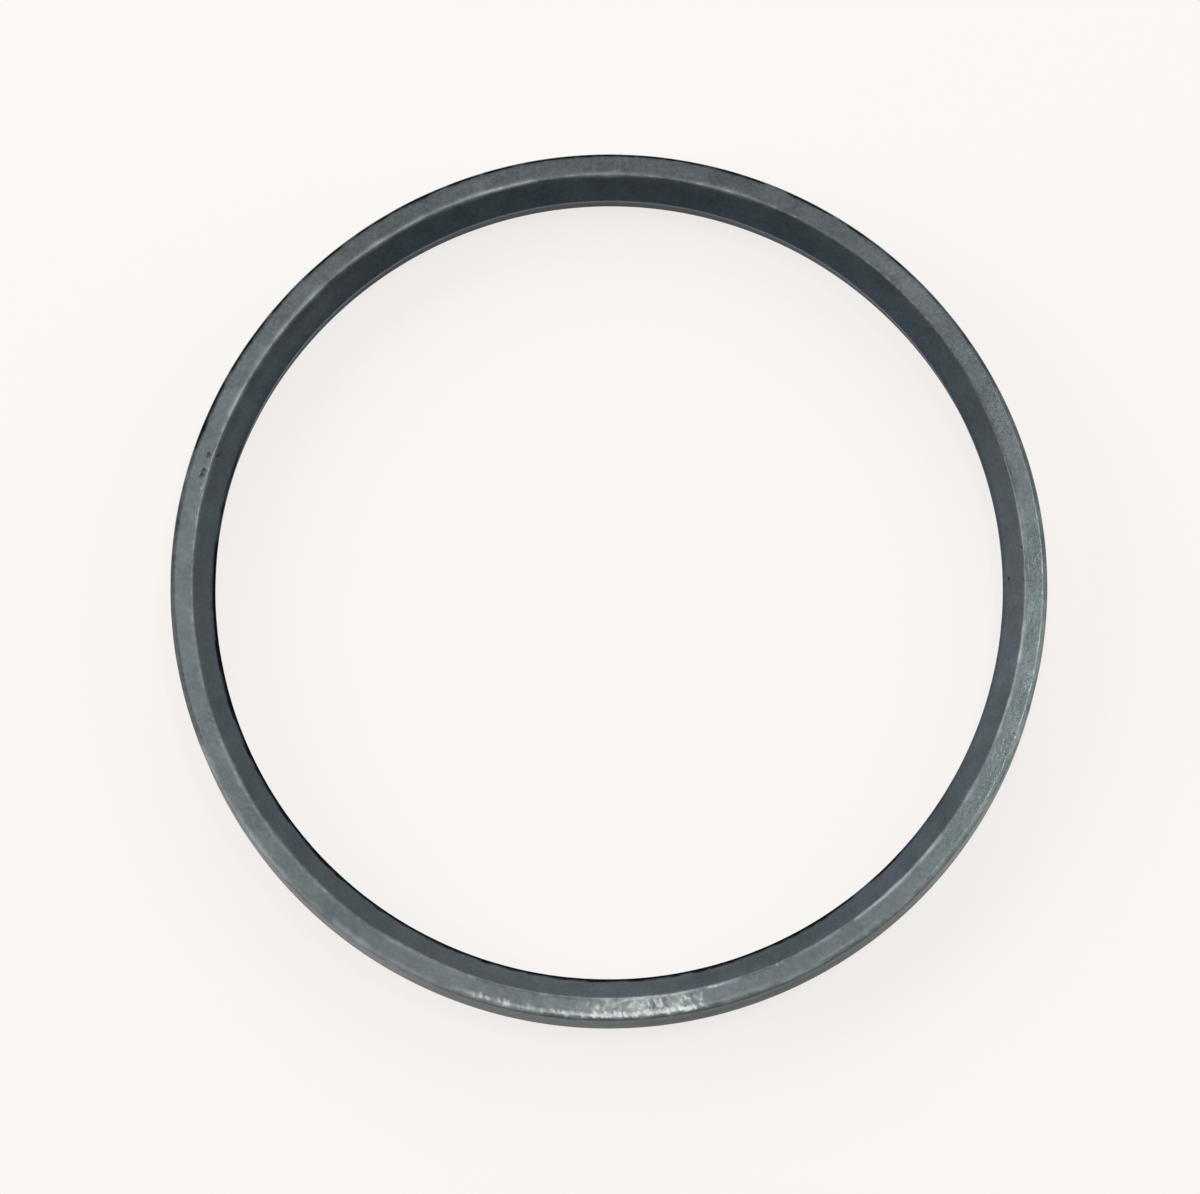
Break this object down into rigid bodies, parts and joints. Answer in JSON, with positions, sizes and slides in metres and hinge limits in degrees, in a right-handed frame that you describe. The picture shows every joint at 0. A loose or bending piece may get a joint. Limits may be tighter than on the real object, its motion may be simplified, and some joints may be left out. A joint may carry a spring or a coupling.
{
  "type": "hydraulic cylinder seal",
  "caption": "Rubber ring with a flat front face, a bevelled inner lip that closes on a cylinder's rod, and a plain outer wall that seats in a gland.",
  "frame": {"origin": "centre of the flat back face, on the ring's axis", "axes": "+Z along the ring's axis, from the back face towards the bevelled lip side"},
  "size_m": [0.1, 0.1, 0.009],
  "materials": {
    "moulded_rubber": "compression-moulded nitrile rubber, matte dark grey, slightly bloomed on the flat faces"
  },
  "bodies": {
    "root": {"seal_ring": "moulded_rubber"}
  },
  "joints": []
}
